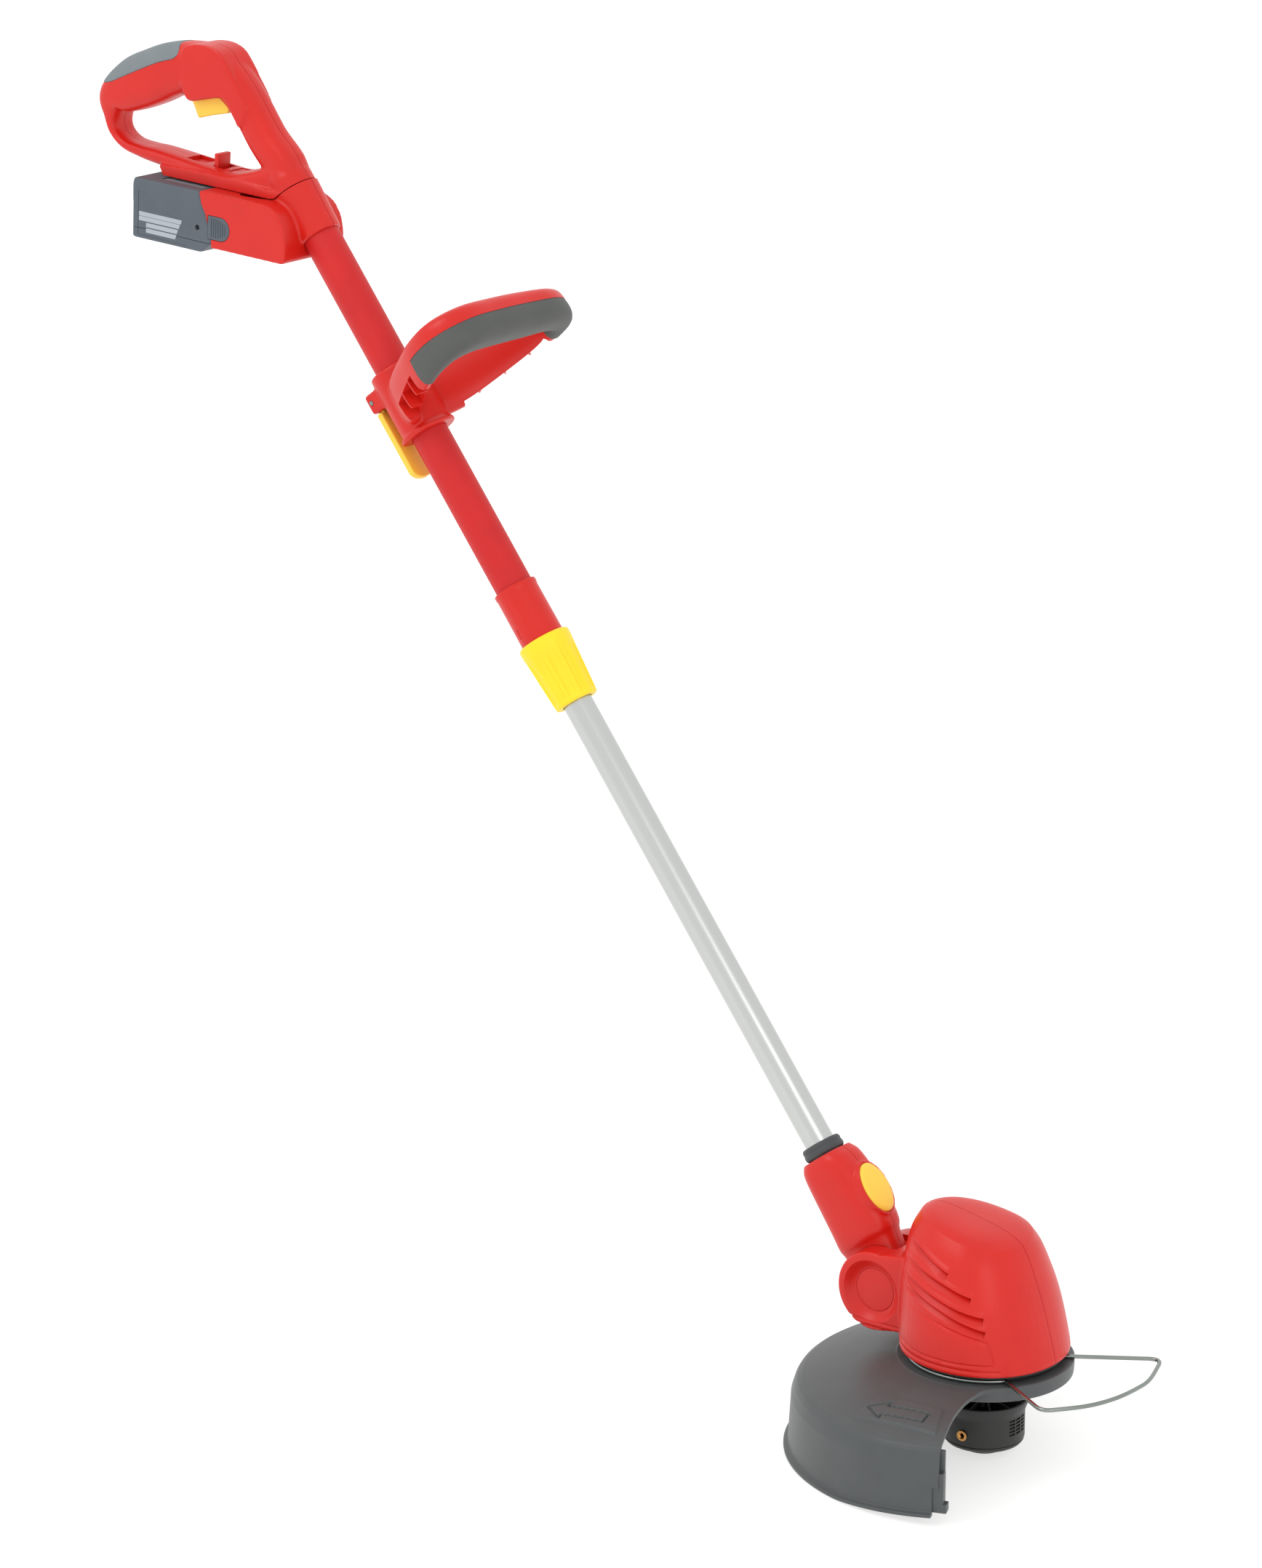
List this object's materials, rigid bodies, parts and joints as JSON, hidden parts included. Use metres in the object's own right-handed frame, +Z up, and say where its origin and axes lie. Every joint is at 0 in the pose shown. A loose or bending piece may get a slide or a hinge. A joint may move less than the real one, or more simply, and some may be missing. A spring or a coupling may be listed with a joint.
{
  "type": "cordless string trimmer",
  "caption": "Cordless string trimmer with a swivelling rear handle, slide-in battery, sliding bow handle, telescopic pole, tilting motor head, guards and a bump-feed line spool.",
  "frame": {"origin": "on the motor axis, at the flat underside of the bump cap, level with the guard's rim", "axes": "+Z up along the motor axis, +X forward away from the user, +Y to the user's left; the pole leans back towards -X"},
  "size_m": [0.9288, 0.2722, 0.9321],
  "materials": {
    "red_plastic": "satin moulded",
    "red_paint": "matte powder coat",
    "yellow_plastic": "satin moulded",
    "slate_plastic": "fine spark texture",
    "grey_rubber": "dotted soft grip",
    "dark_rubber": "matte soft grip",
    "black_plastic": "moulded",
    "aluminium": "satin drawn tube",
    "steel": "zinc plated",
    "brass": "turned",
    "copper": "wound",
    "cell_sleeve": "cells in a film sleeve",
    "board_green": "circuit board",
    "trimmer_line": "extruded line"
  },
  "bodies": {
    "rear_handle": {"rear_handle_left": "red_plastic", "rear_handle_right": "red_plastic", "rear_soft_grip": "grey_rubber", "swivel_spigot": "black_plastic", "power_switch": "black_plastic", "trigger_pin": "steel"},
    "trigger": {"trigger": "yellow_plastic"},
    "swivel_lock": {"swivel_lock": "red_plastic"},
    "upper_pole": {"battery_housing_left": "red_plastic", "battery_housing_right": "red_plastic", "terminal_block": "black_plastic", "control_board": "board_green", "upper_tube": "red_paint", "tube_sleeve": "red_plastic", "collet": "black_plastic"},
    "battery": {"battery_case": "slate_plastic", "battery_lid": "slate_plastic", "cell_pack": "cell_sleeve"},
    "battery_button_left": {"battery_button_left": "slate_plastic"},
    "battery_button_right": {"battery_button_right": "slate_plastic"},
    "front_handle": {"front_handle_frame": "red_plastic", "front_grip": "dark_rubber", "clamp_pad": "black_plastic", "lever_pin": "steel"},
    "clamp_lever": {"clamp_lever": "yellow_plastic"},
    "twist_collar": {"twist_collar": "yellow_plastic"},
    "lower_pole": {"lower_tube": "aluminium", "tube_bush": "black_plastic", "power_lead": "black_plastic", "neck_left": "red_plastic", "neck_right": "red_plastic", "neck_ring": "slate_plastic"},
    "tilt_button": {"tilt_button": "yellow_plastic"},
    "tilt_latch": {"tilt_latch": "steel"},
    "head": {"motor_housing_left": "red_plastic", "motor_housing_right": "red_plastic", "pivot_bolt": "steel", "pivot_nut": "steel", "pivot_cap_left": "red_plastic", "pivot_cap_right": "red_plastic", "tilt_ratchet": "steel", "motor_can": "steel", "head_base": "black_plastic", "lower_bearing": "steel", "motor_cradle": "black_plastic", "guard": "slate_plastic", "line_cutter": "steel"},
    "wire_guard": {"wire_guard": "steel"},
    "spool": {"motor_shaft": "steel", "armature": "copper", "cooling_fan": "black_plastic", "spool_housing": "black_plastic", "spool_cover": "black_plastic", "eyelet_right": "brass", "eyelet_left": "brass", "reel_spring": "steel"},
    "bump": {"line_reel": "black_plastic", "wound_line": "trimmer_line", "bump_cap": "black_plastic"}
  },
  "joints": [
    {"name": "swivel", "type": "hinge", "parent": "rear_handle", "child": "upper_pole", "pos_m": [-0.62294, 0, 0.83116], "axis": [-0.6018, 0, 0.7986], "range_deg": [0, 180]},
    {"name": "trigger_pull", "type": "hinge", "parent": "rear_handle", "child": "trigger", "pos_m": [-0.69501, 0, 0.9052], "axis": [0, 1, 0], "range_deg": [0, 7], "stiffness_Nm_per_rad": 0.3, "springref_deg": -11.46},
    {"name": "swivel_lock_slide", "type": "slide", "parent": "rear_handle", "child": "swivel_lock", "axis": [0.9967, 0, -0.0808], "range_m": [0, 0.005], "stiffness_N_per_m": 500, "springref_m": -0.003},
    {"name": "battery_slide", "type": "slide", "parent": "upper_pole", "child": "battery", "axis": [-0.9981, 0, 0.061], "range_m": [0, 0.06]},
    {"name": "battery_button_left_press", "type": "slide", "parent": "battery", "child": "battery_button_left", "axis": [0, -1, 0], "range_m": [0, 0.003], "stiffness_N_per_m": 700, "springref_m": -0.002},
    {"name": "battery_button_right_press", "type": "slide", "parent": "battery", "child": "battery_button_right", "axis": [0, 1, 0], "range_m": [0, 0.003], "stiffness_N_per_m": 700, "springref_m": -0.002},
    {"name": "front_handle_slide", "type": "slide", "parent": "upper_pole", "child": "front_handle", "axis": [-0.6018, 0, 0.7986], "range_m": [-0.12, 0.06]},
    {"name": "clamp_lever_swing", "type": "hinge", "parent": "front_handle", "child": "clamp_lever", "pos_m": [-0.54251, 0, 0.68455], "axis": [0, 1, 0], "range_deg": [0, 100]},
    {"name": "twist_collar_turn", "type": "hinge", "parent": "upper_pole", "child": "twist_collar", "pos_m": [-0.36296, 0, 0.48615], "axis": [-0.6018, 0, 0.7986], "range_deg": [0, 90]},
    {"name": "telescope", "type": "slide", "parent": "upper_pole", "child": "lower_pole", "axis": [-0.6018, 0, 0.7986], "range_m": [0, 0.185]},
    {"name": "tilt_button_press", "type": "slide", "parent": "lower_pole", "child": "tilt_button", "axis": [-0.7986, 0, -0.6018], "range_m": [0, 0.004], "stiffness_N_per_m": 600, "springref_m": -0.003},
    {"name": "tilt_latch_lift", "type": "slide", "parent": "lower_pole", "child": "tilt_latch", "axis": [-0.6018, 0, 0.7986], "range_m": [0, 0.003]},
    {"name": "head_tilt", "type": "hinge", "parent": "lower_pole", "child": "head", "pos_m": [-0.078, 0, 0.108], "axis": [0, 1, 0], "range_deg": [-10, 30]},
    {"name": "wire_guard_swing", "type": "hinge", "parent": "head", "child": "wire_guard", "pos_m": [0, 0, 0.0728], "axis": [0, 0, 1], "range_deg": [0, 180]},
    {"name": "spool_spin", "type": "hinge", "parent": "head", "child": "spool", "pos_m": [0, 0, 0.033], "axis": [0, 0, 1], "continuous": true},
    {"name": "bump_press", "type": "slide", "parent": "spool", "child": "bump", "axis": [0, 0, 1], "range_m": [0, 0.004], "stiffness_N_per_m": 500, "springref_m": -0.004, "deforming": ["reel_spring"]}
  ],
  "couplings": [
    {"joint": "tilt_latch_lift", "follows": "tilt_button_press", "ratio": 0.75}
  ]
}
